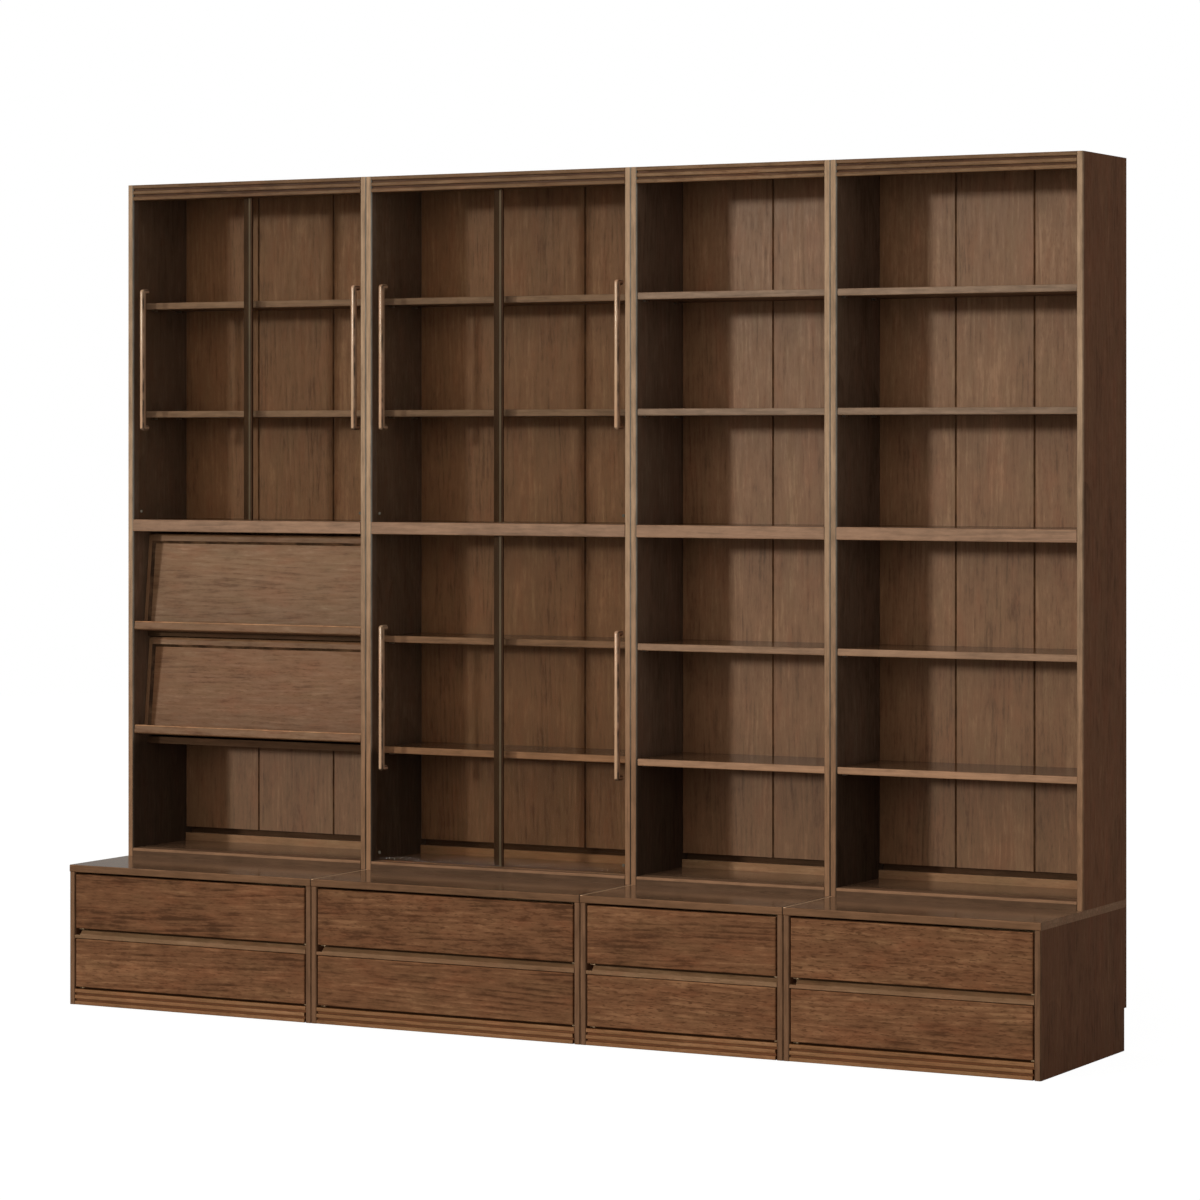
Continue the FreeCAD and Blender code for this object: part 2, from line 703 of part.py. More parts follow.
pins = []
flap_stops = []
flap_shelves = []
for level, axis_height, behind in FLAPS:
    frame = doc.addObject("PartDesign::Body", f"flap_frame_{level}")
    rim = [("0", "0"), (flap_width, "0"), (flap_width, flap_height), ("0", flap_height)]
    pad(frame, outline(frame, f"flap_rim_{level}", "XZ_Plane", rim), "flap_thickness", backwards=True)
    near = "flap_stile"
    wide = f"{flap_width} - flap_stile"
    tall = f"{flap_height} - flap_rail"
    opening = [(near, near), (wide, near), (wide, tall), (near, tall)]
    doc.recompute()
    open_frame = pocket(frame, outline(frame, f"flap_opening_{level}", "XZ_Plane", opening))
    outer = edges_on(open_frame, "left") + edges_on(open_frame, "right")
    outer += edges_on(open_frame, "top") + edges_on(open_frame, "bottom")
    inner_front = [number for number in edges_on(open_frame, "front") if number not in outer]
    bevelled = ease_body(frame, "PartDesign::Chamfer", "Size", "flap_bevel", inner_front)
    top_edges = edges_on(bevelled, "top", along="x")
    ease_body(frame, "PartDesign::Fillet", "Radius", f"({half} - flap_top_flat / 2)", top_edges)
    bore(frame, f"flap_bore_left_{level}", "0", True)
    bore(frame, f"flap_bore_right_{level}", flap_width, False)
    foot = f"({half} - {flap_height})"
    hang(frame, flap_left, f"-{half}", foot, axis_height)
    node(f"flap_{level}_frame", [frame])

    panel = board(
        f"flap_panel_{level}", "0", "0", "0",
        f"{flap_width} - 2 * flap_stile", "flap_panel", f"{flap_height} - flap_stile - flap_rail",
    )
    hang(panel, f"{flap_left} + flap_stile", f"flap_bevel - {half}", f"{foot} + flap_stile", axis_height)
    node(f"flap_{level}_panel", [panel])

    ledge = doc.addObject("PartDesign::Body", f"flap_ledge_{level}")
    section = [
        ("0", "0"),
        ("ledge_depth", "0"),
        ("ledge_depth", "ledge_board"),
        ("lip_thickness", "ledge_board"),
        ("lip_thickness", "ledge_lip"),
        ("0", "ledge_lip"),
    ]
    plain = pad(ledge, outline(ledge, f"flap_ledge_section_{level}", "YZ_Plane", section), flap_width)
    doc.recompute()
    lip_edges = edges_on(plain, "top", along="x") + edges_on(plain, "front", "bottom", along="x")
    ease_body(ledge, "PartDesign::Fillet", "Radius", "lip_round", lip_edges)
    hang(ledge, flap_left, f"-{half} - ledge_depth", foot, axis_height)
    node(f"flap_{level}_ledge", [ledge])

    reach = "(flap_play + hinge_depth)"
    for hand, x in (("left", inner_left["one"]), ("right", f"({inner_right['one']} - {reach})")):
        pins.append(rod(f"hinge_pin_{level}_{hand}", x, axis_depth, axis_height, "hinge_pin", reach, ALONG_X))

    stop_low = f"({axis_height} + {foot} + flap_stop_rise)"
    stop_face = f"({rear_of_flap(axis_height, f'({stop_low} + flap_stop_length)')} + stop_gap)"
    for hand, x in (("left", inner_left["one"]), ("right", f"({inner_right['one']} - flap_stop)")):
        flap_stops.append(
            board(f"flap_stop_{level}_{hand}", x, stop_face, stop_low, "flap_stop", "flap_stop", "flap_stop_length")
        )

    shelf_front = f"({rear_of_flap(axis_height, behind)} + flap_shelf_gap)"
    flap_shelves.append(
        board(
            f"flap_shelf_{level}", inner_left["one"], shelf_front, f"{behind} - shelf",
            inner_width["one"], f"{back_face} - {shelf_front}", "shelf",
        )
    )
node("flap_hinge_pins", pins)
node("flap_stops", flap_stops)
node("flap_shelves", flap_shelves)

# Every piece has to be sound before any file is written
doc.recompute()
for piece in doc.Objects:
    if "Invalid" in piece.State or "Error" in piece.State:
        raise RuntimeError(f"{piece.Name} failed: {piece.State}")
for finished in nodes:
    if finished.Shape.isNull() or not finished.Shape.isValid():
        raise RuntimeError(f"{finished.Label} has no sound shape")

os.makedirs("parts", exist_ok=True)
for finished in nodes:
    finished.Shape.exportStep(f"parts/{finished.Label}.step")
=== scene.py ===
import math

import bmesh
import bpy
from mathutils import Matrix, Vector


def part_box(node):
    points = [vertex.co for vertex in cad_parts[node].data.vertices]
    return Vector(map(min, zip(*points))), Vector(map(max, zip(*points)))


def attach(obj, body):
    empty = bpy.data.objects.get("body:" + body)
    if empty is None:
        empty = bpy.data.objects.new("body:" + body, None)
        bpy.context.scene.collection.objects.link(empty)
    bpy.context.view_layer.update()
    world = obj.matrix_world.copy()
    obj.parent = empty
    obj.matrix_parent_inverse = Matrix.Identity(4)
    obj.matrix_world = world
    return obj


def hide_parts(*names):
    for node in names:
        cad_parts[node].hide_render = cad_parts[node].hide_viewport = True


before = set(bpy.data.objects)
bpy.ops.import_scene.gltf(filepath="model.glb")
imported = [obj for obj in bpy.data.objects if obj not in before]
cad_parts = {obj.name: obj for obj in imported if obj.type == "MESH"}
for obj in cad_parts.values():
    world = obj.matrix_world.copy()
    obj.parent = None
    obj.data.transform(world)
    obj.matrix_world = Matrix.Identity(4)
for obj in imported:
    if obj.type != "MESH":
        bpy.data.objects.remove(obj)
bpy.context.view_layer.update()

# Drawer base, side panels: veneered boards that stand on the floor, with the grain upright.
# A solid walnut lipping is glued to each front edge, planed flush and rounded over, and its rounded edges are
# painted darker, a painted shade.
# Every walnut face of the bookcase takes its figure from the same grain, laid its own way.


def put(tree, kind, inputs=None, **settings):
    """One node of a material, with its sockets filled by values or by links."""
    made = tree.nodes.new(kind)
    for name, value in settings.items():
        setattr(made, name, value)
    for key, value in (inputs or {}).items():
        if isinstance(value, bpy.types.NodeSocket):
            tree.links.new(value, made.inputs[key])
        else:
            made.inputs[key].default_value = value
    return made


def reckon(tree, operation, first, second=0.0, third=0.0):
    """One sum on up to three values."""
    return put(tree, "ShaderNodeMath", {0: first, 1: second, 2: third}, operation=operation).outputs[0]


def spread(tree, value, low, high, to_low=0.0, to_high=1.0):
    """Eases a value from one range into another and holds it at the ends."""
    made = put(
        tree, "ShaderNodeMapRange",
        {"Value": value, "From Min": low, "From Max": high, "To Min": to_low, "To Max": to_high},
        interpolation_type="SMOOTHSTEP",
    )
    return made.outputs["Result"]


def tint(tree, share, first, second, blend="MIX"):
    """Lays a share of the second colour over the first."""
    made = put(tree, "ShaderNodeMix", {0: share, 6: first, 7: second}, data_type="RGBA", blend_type=blend)
    return made.outputs[2]


def cloud(tree, vector, stretch, detail=3.0, rough=0.5, distort=0.0):
    """Soft noise about nought that is drawn out along the grain."""
    drawn = put(tree, "ShaderNodeVectorMath", {0: vector, 1: stretch}, operation="MULTIPLY").outputs[0]
    made = put(
        tree, "ShaderNodeTexNoise",
        {"Vector": drawn, "Scale": 1.0, "Detail": detail, "Roughness": rough, "Distortion": distort},
    )
    return reckon(tree, "SUBTRACT", made.outputs["Fac"], 0.5)


def solid(colour, shade=1.0):
    """A colour with full cover, made darker or paler by a shade."""
    return (*(shade * part for part in colour), 1.0)


def group(name, inputs, outputs):
    """A node group with named sockets, and what it is given."""
    made = bpy.data.node_groups.new(name, "ShaderNodeTree")
    for socket, kind, start in inputs:
        added = made.interface.new_socket(name=socket, in_out="INPUT", socket_type=f"NodeSocket{kind}")
        added.default_value = start
    for socket, kind in outputs:
        made.interface.new_socket(name=socket, in_out="OUTPUT", socket_type=f"NodeSocket{kind}")
    return made, made.nodes.new("NodeGroupInput").outputs


def fresh(name):
    """An empty material and its nodes."""
    material = bpy.data.materials.new(name)
    material.use_nodes = True
    material.node_tree.nodes.clear()
    return material, material.node_tree


grain, given = group(
    "walnut_grain",
    (
        ("Vector", "Vector", (0, 0, 0)),
        ("Board", "Float", 0.0),
        ("Rings", "Float", 0.2),
        ("Streaks", "Float", 1.0),
        ("Flecks", "Float", 0.4),
        ("Dark", "Color", (0.08, 0.035, 0.017, 1)),
        ("Middle", "Color", (0.14, 0.064, 0.031, 1)),
        ("Light", "Color", (0.21, 0.1, 0.05, 1)),
    ),
    (("Color", "Color"), ("Tone", "Float"), ("Gloss", "Float"), ("Height", "Float")),
)

# Each board is cut from a place of its own, up to this many metres along the log.
LOG = 31.0
chance = put(grain, "ShaderNodeTexWhiteNoise", {"W": given["Board"]}, noise_dimensions="1D").outputs["Color"]
luck = put(grain, "ShaderNodeSeparateXYZ", {0: chance}).outputs
shift = put(grain, "ShaderNodeVectorMath", {0: chance, 1: (LOG, LOG, LOG)}, operation="MULTIPLY").outputs[0]
moved = put(grain, "ShaderNodeVectorMath", {0: given["Vector"], 1: shift}, operation="ADD").outputs[0]
place = put(grain, "ShaderNodeSeparateXYZ", {0: moved}).outputs

# Growth rings, cut as two mirrored leaves of veneer about a wandering heart.
LEAF_WIDTH, LEAF_HEART, LEAF_DEPTH = 0.21, 0.11, 0.19
WANDER, TAPER = 0.16, 0.035
RINGS_PER_METRE, LATE_WOOD, EARLY_TONE = 70.0, 1.6, 0.4
leaf = reckon(grain, "SUBTRACT", reckon(grain, "PINGPONG", place[1], LEAF_WIDTH), LEAF_HEART)
heart = reckon(grain, "MULTIPLY_ADD", cloud(grain, moved, (1.3, 5.0, 5.0), 2.0), WANDER, leaf)
slope = reckon(grain, "MULTIPLY_ADD", place[0], TAPER, reckon(grain, "PINGPONG", place[2], LEAF_DEPTH))
far = put(grain, "ShaderNodeCombineXYZ", {0: heart, 1: slope}).outputs[0]
radius = put(grain, "ShaderNodeVectorMath", {0: far}, operation="LENGTH").outputs["Value"]
ring = reckon(grain, "FRACT", reckon(grain, "MULTIPLY", radius, RINGS_PER_METRE))
ring = reckon(grain, "SUBTRACT", EARLY_TONE, reckon(grain, "POWER", ring, LATE_WOOD))
patchy = spread(grain, cloud(grain, moved, (5.0, 22.0, 22.0)), -0.1, 0.12)
ring = reckon(grain, "MULTIPLY", ring, patchy)

# Streaks, soft mottling and fine fibres give the tone, which also differs a little from board to board.
BOARD_SPREAD = 0.12
broad = cloud(grain, moved, (1.7, 13.0, 13.0), 3.0, 0.55)
streak = cloud(grain, moved, (13.0, 125.0, 125.0), 3.0, 0.55, 0.3)
mottle = cloud(grain, moved, (20.0, 34.0, 34.0), 3.0, 0.6)
fibre = cloud(grain, moved, (80.0, 640.0, 640.0), 1.0)
streaked = reckon(grain, "MULTIPLY", broad, 0.9)
for layer, weight in ((streak, 0.95), (mottle, 0.6), (fibre, 0.3)):
    streaked = reckon(grain, "MULTIPLY_ADD", layer, weight, streaked)
tone = reckon(grain, "MULTIPLY_ADD", ring, given["Rings"], 0.5)
tone = reckon(grain, "MULTIPLY_ADD", streaked, given["Streaks"], tone)
tone = reckon(grain, "MULTIPLY_ADD", reckon(grain, "SUBTRACT", luck[2], 0.5), BOARD_SPREAD, tone)
paint = tint(grain, spread(grain, tone, 0.2, 0.52), given["Dark"], given["Middle"])
paint = tint(grain, spread(grain, tone, 0.5, 0.85), paint, given["Light"])

# Short dark flecks are the open pores, and the hue drifts between a redder and a greener brown.
REDDER, GREENER = (1.05, 0.97, 0.95, 1), (0.97, 1.02, 1.01, 1)
fleck = spread(grain, cloud(grain, moved, (46.0, 270.0, 270.0), 2.0, 0.55), 0.05, 0.17)
many = reckon(grain, "MULTIPLY", given["Flecks"], reckon(grain, "ADD", luck[0], 0.5))
fleck = reckon(grain, "MULTIPLY", fleck, many)
paint = tint(grain, fleck, paint, given["Dark"])
hue = cloud(grain, moved, (7.0, 24.0, 24.0), 3.0, 0.6)
paint = tint(grain, spread(grain, hue, 0.0, 0.2), paint, REDDER, "MULTIPLY")
paint = tint(grain, spread(grain, hue, 0.0, -0.2), paint, GREENER, "MULTIPLY")
gloss = reckon(grain, "MULTIPLY_ADD", fleck, 0.2, reckon(grain, "MULTIPLY", streak, -0.25))
height = reckon(grain, "SUBTRACT", reckon(grain, "MULTIPLY", fibre, 0.8), fleck)
put(grain, "NodeGroupOutput", {"Color": paint, "Tone": tone, "Gloss": gloss, "Height": height})

# The arris mask is found from the surface's own slope, so that it lies on rounded and bevelled edges alone.
# It also tells an edge that faces right or down, away from the key lamp, from one that faces up, so that shade
# and highlight can be painted on them.
arris_mask, given = group(
    "arris_mask", (("Amount", "Float", 0.3),), (("Mask", "Float"), ("Shade Side", "Float")),
)
where = put(arris_mask, "ShaderNodeTexCoord").outputs
facing = put(arris_mask, "ShaderNodeVectorMath", {0: where["Normal"]}, operation="ABSOLUTE").outputs[0]
part = put(arris_mask, "ShaderNodeSeparateXYZ", {0: facing}).outputs
most = reckon(arris_mask, "MAXIMUM", reckon(arris_mask, "MAXIMUM", part[0], part[1]), part[2])
uneven = spread(arris_mask, cloud(arris_mask, where["Object"], (24.0, 24.0, 24.0)), -0.15, 0.15, 0.5, 1.0)
mask = reckon(arris_mask, "MULTIPLY", spread(arris_mask, most, 0.985, 0.88), uneven)
mask = reckon(arris_mask, "MULTIPLY", mask, given["Amount"])
slant = put(arris_mask, "ShaderNodeSeparateXYZ", {0: where["Normal"]}).outputs
shade_side = reckon(arris_mask, "GREATER_THAN", reckon(arris_mask, "SUBTRACT", slant[0], slant[2]), 0.0)
put(arris_mask, "NodeGroupOutput", {"Mask": mask, "Shade Side": shade_side})

LAID_ALONG = {"x": (0, 0, 0), "y": (0, 0, -math.pi / 2), "z": (0, math.pi / 2, 0)}


def walnut(
    name, along, tones, cuts=(), figure=(0.15, 0.6, 0.3), finish=(0.45, 0.1), arris=(0.3, 1.5, 1.5),
    lipping=None, groove=None, foot=None, stiles=None, seams=None, inner=None, polish=None,
):
    """Lacquered walnut. The figure runs along one axis and starts afresh past each cut between two boards."""
    material, tree = fresh(name)
    where = put(tree, "ShaderNodeTexCoord").outputs
    axes = put(tree, "ShaderNodeSeparateXYZ", {0: where["Object"]}).outputs
    slope = put(tree, "ShaderNodeSeparateXYZ", {0: where["Normal"]}).outputs
    turn = {"Vector": where["Object"], "Rotation": LAID_ALONG[along]}
    laid = put(tree, "ShaderNodeMapping", turn).outputs[0]
    board = 0.0
    for axis, at, weight in cuts:
        past = reckon(tree, "GREATER_THAN", axes["xyz".index(axis)], at)
        board = reckon(tree, "MULTIPLY_ADD", past, weight, board)
    if stiles:
        # A frame's uprights lie outside its panel and have upright grain of their own.
        centre, half = stiles
        outside = reckon(tree, "ABSOLUTE", reckon(tree, "SUBTRACT", axes[0], centre))
        outside = reckon(tree, "GREATER_THAN", outside, half)
        turn = {"Vector": where["Object"], "Rotation": LAID_ALONG["z"]}
        upright = put(tree, "ShaderNodeMapping", turn).outputs[0]
        laid = put(tree, "ShaderNodeMix", {0: outside, 4: laid, 5: upright}, data_type="VECTOR").outputs[1]
        board = reckon(tree, "MULTIPLY_ADD", outside, 3.0, board)
    dark, middle, light = (solid(shade) for shade in tones)
    rings, streaks, flecks = figure
    veneer = put(
        tree, "ShaderNodeGroup",
        {
            "Vector": laid, "Board": board, "Rings": rings, "Streaks": streaks, "Flecks": flecks,
            "Dark": dark, "Middle": middle, "Light": light,
        },
        node_tree=grain,
    ).outputs
    colour = veneer["Color"]
    painted_seams = 0.0
    if lipping:
        # A strip of other wood on the front edge. Its colour can change from knee height to head height, a
        # painted change of the light that falls on it.
        edge, depth, pale, *low_pale = lipping
        knee, head = 0.5, 1.5
        darkest, palest = 0.6, 1.4
        near = reckon(tree, "LESS_THAN", axes[1], edge + depth)
        strip = tint(tree, spread(tree, axes[2], knee, head), solid((*low_pale, pale)[0]), solid(pale))
        streaked = spread(tree, veneer["Tone"], 0.1, 0.9, darkest, palest)
        strip = tint(tree, 1.0, strip, streaked, "MULTIPLY")
        colour = tint(tree, near, colour, strip)
    if groove:
        # Faces past a small depth are painted darker, a painted shade in the grooves.
        start, shade_tint = groove
        before, beyond = 0.0006, 0.0012
        deep = spread(tree, axes[1], start - before, start + beyond)
        colour = tint(tree, deep, colour, solid(shade_tint), "MULTIPLY")
    if foot:
        # The colour is painted darker below a height, standing for light that falls off lower down.
        height, soft, shade = foot
        under = spread(tree, axes[2], height + soft, height - soft)
        colour = tint(tree, under, colour, solid((shade, shade, shade)), "MULTIPLY")
    if seams:
        # Where two boards meet, a painted highlight lies on the edge to the right of a narrow gap painted dark
        # as shade.
        joints, width, pale = seams
        gap_width, gap_shade = 0.003, 0.2
        above = reckon(tree, "GREATER_THAN", slope[2], 0.6)
        for joint in joints:
            seam_highlight = reckon(tree, "COMPARE", axes[0], joint + width / 2, width / 2)
            seam_highlight = reckon(tree, "MULTIPLY", seam_highlight, above)
            colour = tint(tree, seam_highlight, colour, solid(pale))
            gap = reckon(tree, "COMPARE", axes[0], joint - gap_width / 2, gap_width / 2)
            colour = tint(tree, gap, colour, solid((gap_shade, gap_shade, gap_shade)), "MULTIPLY")
            painted_seams = reckon(tree, "ADD", painted_seams, reckon(tree, "ADD", seam_highlight, gap))
    if inner:
        # Faces inside the cases that look to the right are painted less red, and darker below a height, as
        # painted shade.
        limit, shade_tint, low, shade = inner
        soft = 0.02
        inside = reckon(tree, "GREATER_THAN", slope[0], 0.5)
        inside = reckon(tree, "MULTIPLY", inside, reckon(tree, "LESS_THAN", axes[0], limit))
        colour = tint(tree, inside, colour, solid(shade_tint), "MULTIPLY")
        lowest = reckon(tree, "MULTIPLY", inside, spread(tree, axes[2], low + soft, low - soft))
        colour = tint(tree, lowest, colour, solid((shade, shade, shade)), "MULTIPLY")
    # The arris mask paints light and shade on rounded and bevelled edges: one factor for edges on the lit side,
    # one for edges facing right or down, away from the key lamp.
    amount, lit_side, shade_side = arris
    edges = put(tree, "ShaderNodeGroup", {"Amount": amount}, node_tree=arris_mask).outputs
    change = spread(tree, edges["Shade Side"], 0.0, 1.0, lit_side, shade_side)
    colour = tint(tree, edges["Mask"], colour, change, "MULTIPLY")
    rough, shine = finish
    open_pores, unevenness = 0.4, 2.0
    relief = open_pores * rough
    if polish:
        # Level faces past a depth have a finer lacquer, with the grain filled.
        start, smooth, bright = polish
        level = reckon(tree, "GREATER_THAN", reckon(tree, "SUBTRACT", slope[2], painted_seams), 0.7)
        level = reckon(tree, "MULTIPLY", level, reckon(tree, "GREATER_THAN", axes[1], start))
        rough = spread(tree, level, 0.0, 1.0, rough, smooth)
        shine = spread(tree, level, 0.0, 1.0, shine, bright)
        relief = reckon(tree, "MULTIPLY", rough, open_pores)
    uneven = reckon(tree, "MULTIPLY_ADD", veneer["Gloss"], unevenness, 1.0)
    bump = put(tree, "ShaderNodeBump", {"Strength": relief, "Distance": 0.0004, "Height": veneer["Height"]})
    shader = put(
        tree, "ShaderNodeBsdfPrincipled",
        {
            "Base Color": colour,
            "Roughness": reckon(tree, "MULTIPLY", uneven, rough),
            "Normal": bump.outputs[0],
            "IOR": 1.45,
            "Specular IOR Level": shine,
        },
    )
    put(tree, "ShaderNodeOutputMaterial", {"Surface": shader.outputs[0]})
    return material


def coat(material, *names):
    """Gives a finish to CAD pieces as they are."""
    for name in names:
        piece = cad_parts[name]
        if not piece.material_slots:
            piece.data.materials.append(material)
        for slot in piece.material_slots:
            slot.material = material


BASE_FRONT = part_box("base_tops")[0].y
PANEL_CUTS = [("x", at, 1.0) for at in (-1.0, -0.63, -0.2, 0.16, 0.45, 0.72, 1.0)]
BASE_SIDE = ((0.095, 0.04, 0.02), (0.162, 0.07, 0.035), (0.235, 0.105, 0.053))
coat(
    walnut(
        "walnut_base_side", "z", BASE_SIDE, PANEL_CUTS, finish=(0.5, 0.04), arris=(0.85, 0.5, 0.5),
        lipping=(BASE_FRONT, 0.006, (0.16, 0.083, 0.046)),
    ),
    "base_side_panels",
)

# Base tops, bottoms and backs: the tops are long-grain boards with a polished lacquer that mirrors the cases.
# Where two tops butt, the edge to the right of the joint carries a painted highlight beside a narrow gap painted
# dark as shade, and the front edge has a painted highlight.
# The bottoms and thin backs close the drawer base and are left in a plainer finish.
CASE_JOINTS = (-0.63, 0.16, 0.72)
CASE_CUTS = [("x", at, 1.0) for at in CASE_JOINTS]
TOP = ((0.147, 0.078, 0.044), (0.257, 0.141, 0.081), (0.362, 0.21, 0.125))
coat(
    walnut(
        "walnut_base_top", "x", TOP, CASE_CUTS, finish=(0.5, 0.04), arris=(0.8, 1.6, 1.0),
        lipping=(BASE_FRONT, 0.004, (0.15, 0.076, 0.04)), seams=(CASE_JOINTS, 0.006, (0.7, 0.46, 0.29)),
        polish=(BASE_FRONT, 0.14, 0.5),
    ),
    "base_tops",
)
coat(
    walnut("walnut_base_lining", "x", BASE_SIDE, CASE_CUTS, finish=(0.55, 0.2)),
    "base_bottoms", "base_backs",
)

# Plinths and cornices: solid walnut rails with three reeds each, run on a spindle moulder.
# They are glued between the sides. The grooves are painted darker as shade, most of all the cornice's, and the
# rounded reeds carry a painted highlight.
CASE_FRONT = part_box("upper_side_panels")[0].y
SHADED_FROM = 0.0028
PLINTH = ((0.12, 0.052, 0.02), (0.235, 0.108, 0.046), (0.34, 0.175, 0.085))
coat(
    walnut(
        "walnut_plinth", "x", PLINTH, CASE_CUTS, arris=(0.35, 1.35, 1.1),
        groove=(BASE_FRONT + SHADED_FROM, (0.6, 0.46, 0.36)),
    ),
    "plinths",
)
CORNICE = ((0.08, 0.038, 0.018), (0.15, 0.078, 0.038), (0.24, 0.135, 0.07))
coat(
    walnut(
        "walnut_cornice", "x", CORNICE, CASE_CUTS, arris=(0.3, 1.3, 1.1),
        groove=(CASE_FRONT + SHADED_FROM, (0.48, 0.34, 0.25)),
    ),
    "cornices",
)

# Divider rails: solid walnut between each pair of drawers, bevelled as a finger pull, with a notch at the left.
# The bevel is painted darker than the rail's narrow front, a painted shade.
DIVIDER = ((0.12, 0.06, 0.028), (0.2, 0.105, 0.053), (0.29, 0.165, 0.09))
coat(walnut("walnut_divider", "x", DIVIDER, CASE_CUTS, arris=(0.8, 0.62, 0.62)), "divider_rails")

# Drawer runners, stops and boxes: pale hardwood, planed and waxed, and rubbed smooth where the drawers run.
# The boxes are butted and pinned round a thin bottom, and keep the same pale wood.
CASES = ("one", "two", "three", "four")
DRAWERS = [f"drawer_{case}_{level}" for case in CASES for level in ("upper", "lower")]
PALE = ((0.3, 0.2, 0.11), (0.42, 0.29, 0.17), (0.52, 0.38, 0.24))
waxed = walnut("waxed_hardwood", "y", PALE, CASE_CUTS, figure=(0.2, 0.6, 0.2), finish=(0.55, 0.2))
coat(waxed, "drawer_runners", "drawer_stops")
coat(waxed, *[f"{drawer}_box" for drawer in DRAWERS])

# Drawer fronts: flush veneered fronts whose grain runs across the case, with a bold streaked figure.
# The four edges are rounded over by a sanding block and are painted a little paler than the face, a painted
# highlight.
FRONT = ((0.075, 0.031, 0.014), (0.16, 0.07, 0.033), (0.255, 0.122, 0.06))
BETWEEN_DRAWERS = ("z", 0.188, 12.0)
coat(
    walnut(
        "walnut_drawer_front", "x", FRONT, CASE_CUTS + [BETWEEN_DRAWERS], figure=(0.25, 0.85, 0.5),
        finish=(0.5, 0.04), arris=(0.55, 1.5, 1.2),
    ),
    *[f"{drawer}_front" for drawer in DRAWERS],
)

# Upper cases, side panels: upright-grained boards like the base's, with a pale lipping on the front edge.
# The lipping is solid wood of its own. It is painted paler towards the cornice, a painted sheen, and its rounded
# edges are painted darker, a painted shade.
# Inside the cases the faces that look to the right are painted less red and darker, a painted shade, darkest
# below the lowest shelf.
CASE_SIDE = ((0.11, 0.047, 0.022), (0.185, 0.08, 0.039), (0.265, 0.12, 0.06))
EDGE, EDGE_LOW = (0.36, 0.235, 0.151), (0.235, 0.127, 0.071)
LAST_INSIDE, LOWEST_SHELF = 1.35, 0.69
coat(
    walnut(
        "walnut_case_side", "z", CASE_SIDE, PANEL_CUTS, finish=(0.5, 0.04), arris=(0.6, 0.65, 0.5),
        lipping=(CASE_FRONT, 0.006, EDGE, EDGE_LOW),
        inner=(LAST_INSIDE, (0.95, 1.35, 1.8), LOWEST_SHELF, 0.42),
    ),
    "upper_side_panels",
)

# Upper cases, level boards: bottoms, the thick fixed shelf and the tops, each with a lipped front edge.
# Bottoms and shelves are polished behind the door tracks, and a bottom's edge is painted dark below its lipping,
# a painted shade.
# Head rails behind two cornices carry the grooves that the glass doors run in.
BEHIND_TRACKS = CASE_FRONT + 0.045
LIPPING_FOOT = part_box("case_bottoms")[1].z - 0.007
SHELF = ((0.075, 0.037, 0.019), (0.135, 0.068, 0.036), (0.2, 0.11, 0.06))
coat(
    walnut(
        "walnut_fixed_shelf", "x", SHELF, CASE_CUTS, finish=(0.4, 0.1),
        lipping=(CASE_FRONT, 0.005, (0.255, 0.145, 0.09)), polish=(BEHIND_TRACKS, 0.18, 0.5),
    ),
    "fixed_shelves",
)
coat(
    walnut(
        "walnut_case_bottom", "x", TOP, CASE_CUTS, finish=(0.5, 0.04),
        lipping=(CASE_FRONT, 0.004, (0.23, 0.125, 0.072)), foot=(LIPPING_FOOT, 0.0004, 0.4),
        polish=(BEHIND_TRACKS, 0.14, 0.5),
    ),
    "case_bottoms",
)
coat(walnut("walnut_case_top", "x", SHELF, CASE_CUTS), "case_tops", "door_head_rails")

# Backs: upright boards with a V-groove at each joint, in a flatter finish than the rest. The grooves and the
# foot are painted darker, a painted shade.
# Below them are the cable rail and, behind the slot, a cover strip painted dark as the shade in the slot.
BACK = ((0.115, 0.052, 0.025), (0.197, 0.096, 0.047), (0.28, 0.146, 0.075))
for case, count in (("one", 3), ("two", 3), ("three", 2), ("four", 3)):
    low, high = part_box(f"back_boards_{case}")
    joints = [("x", low.x + (high.x - low.x) * step / count, 1.0) for step in range(1, count)]
    coat(
        walnut(
            f"walnut_back_{case}", "z", BACK, joints, figure=(0.15, 0.65, 0.25), finish=(0.38, 0.14),
            arris=(1.0, 0.4, 0.4), foot=(0.75, 0.2, 0.8),
        ),
        f"back_boards_{case}",
    )
RAIL = ((0.15, 0.075, 0.036), (0.24, 0.125, 0.062), (0.32, 0.18, 0.095))
coat(walnut("walnut_cable_rail", "x", RAIL, CASE_CUTS), "cable_rails")
IN_SHADE = ((0.035, 0.018, 0.01), (0.06, 0.03, 0.016), (0.09, 0.046, 0.025))
coat(walnut("walnut_cable_cover", "x", IN_SHADE, CASE_CUTS, finish=(0.6, 0.02)), "cable_covers")

# Loose shelves: veneered boards with a pale lipping, near the front in open cases and set back behind glass.
# Each lies on four small plated steel supports. The two shelves behind the flaps are plain and painted dark, a
# painted shade.
TIERS = [("z", at, 5.0) for at in (0.85, 1.3, 1.7)]
